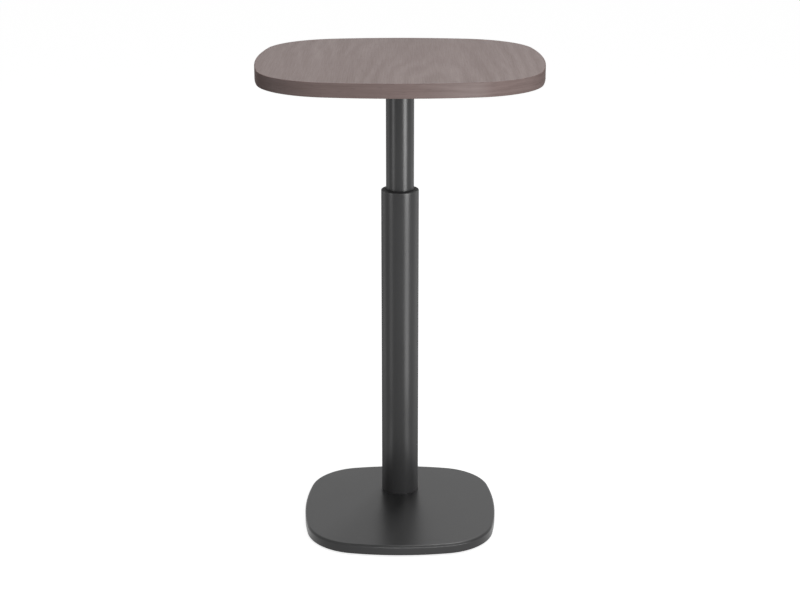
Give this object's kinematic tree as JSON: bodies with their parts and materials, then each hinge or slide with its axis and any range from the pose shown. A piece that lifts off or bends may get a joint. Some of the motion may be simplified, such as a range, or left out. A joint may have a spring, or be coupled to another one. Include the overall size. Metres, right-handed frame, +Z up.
{
  "type": "telescoping pedestal table",
  "caption": "Height-adjustable pedestal table: rounded-square wood top on a set-back telescoping column with a gas spring and release lever, on a heavy rounded-square plate base.",
  "frame": {"origin": "on the floor, under the common centre of the top and the base", "axes": "+Z up; -Y is the side the picture shows, so the column stands towards +Y; +X is the picture's right"},
  "size_m": [0.6098, 0.6098, 1.052],
  "materials": {
    "wood_face": "satin lacquered grey-brown veneer",
    "wood_edge": "satin lacquered grey-brown edge band",
    "wood_backer": "matt grey-brown backing sheet",
    "core_board": "raw particle board",
    "charcoal_paint": "satin charcoal powder coat",
    "charcoal_tube": "satin charcoal powder coat",
    "charcoal_collar": "satin charcoal powder coat",
    "black_paint": "fine black powder coat",
    "raw_steel": "mill finish",
    "zinc_steel": "zinc plated",
    "polished_rod": "ground and nitrided",
    "aluminium_guide": "turned",
    "brass_insert": "turned",
    "black_plastic": "moulded acetal",
    "black_grip": "fine-textured moulded grip",
    "black_nylon": "moulded nylon",
    "black_rubber": "moulded rubber"
  },
  "bodies": {
    "base": {"base_plate": "charcoal_paint", "outer_tube": "charcoal_tube", "collar": "charcoal_collar", "foot_plug": "raw_steel", "foot_bolts": "zinc_steel", "guide_rail": "raw_steel", "upper_guide_bush": "black_plastic", "spring_post": "raw_steel", "spring_lock_nut": "zinc_steel", "gas_spring_body": "black_paint", "rod_guide": "aluminium_guide"},
    "carriage": {"inner_tube": "charcoal_tube", "lower_guide_ring": "black_plastic", "ring_rivets": "aluminium_guide", "gas_spring_rod": "polished_rod", "piston": "aluminium_guide", "piston_seal": "black_rubber", "rod_washer": "zinc_steel", "rod_nut": "zinc_steel", "head_housing": "black_paint", "bump_ring": "black_rubber", "mounting_plate": "black_paint", "housing_screws": "zinc_steel", "lever_bracket": "zinc_steel", "bracket_screws": "zinc_steel", "pivot_pin": "zinc_steel", "pivot_clip": "zinc_steel", "top_core": "core_board", "top_face_veneer": "wood_face", "top_backer": "wood_backer", "top_edge_band": "wood_edge", "top_inserts": "brass_insert", "top_screws": "zinc_steel"},
    "lever": {"release_lever": "black_paint", "lever_grip": "black_grip"},
    "valve_pin": {"release_pin": "polished_rod"},
    "glide_front_left": {"glide_foot_front_left": "black_nylon", "glide_stud_front_left": "zinc_steel"},
    "glide_front_right": {"glide_foot_front_right": "black_nylon", "glide_stud_front_right": "zinc_steel"},
    "glide_back_left": {"glide_foot_back_left": "black_nylon", "glide_stud_back_left": "zinc_steel"},
    "glide_back_right": {"glide_foot_back_right": "black_nylon", "glide_stud_back_right": "zinc_steel"}
  },
  "joints": [
    {"name": "column_slide", "type": "slide", "parent": "base", "child": "carriage", "axis": [0, 0, 1], "range_m": [-0.225, 0.075]},
    {"name": "lever_pivot", "type": "hinge", "parent": "carriage", "child": "lever", "pos_m": [0.024, 0.093, 1.00695], "axis": [0, -1, 0], "range_deg": [0, 7], "stiffness_Nm_per_rad": 8, "springref_deg": -11.46},
    {"name": "valve_press", "type": "slide", "parent": "carriage", "child": "valve_pin", "axis": [0, 0, -1], "range_m": [0, 0.003]},
    {"name": "glide_front_left_adjust", "type": "slide", "parent": "base", "child": "glide_front_left", "axis": [0, 0, -1], "range_m": [0, 0.008]},
    {"name": "glide_front_right_adjust", "type": "slide", "parent": "base", "child": "glide_front_right", "axis": [0, 0, -1], "range_m": [0, 0.008]},
    {"name": "glide_back_left_adjust", "type": "slide", "parent": "base", "child": "glide_back_left", "axis": [0, 0, -1], "range_m": [0, 0.008]},
    {"name": "glide_back_right_adjust", "type": "slide", "parent": "base", "child": "glide_back_right", "axis": [0, 0, -1], "range_m": [0, 0.008]}
  ],
  "couplings": [
    {"joint": "valve_press", "follows": "lever_pivot", "m_per_rad": 0.024}
  ]
}
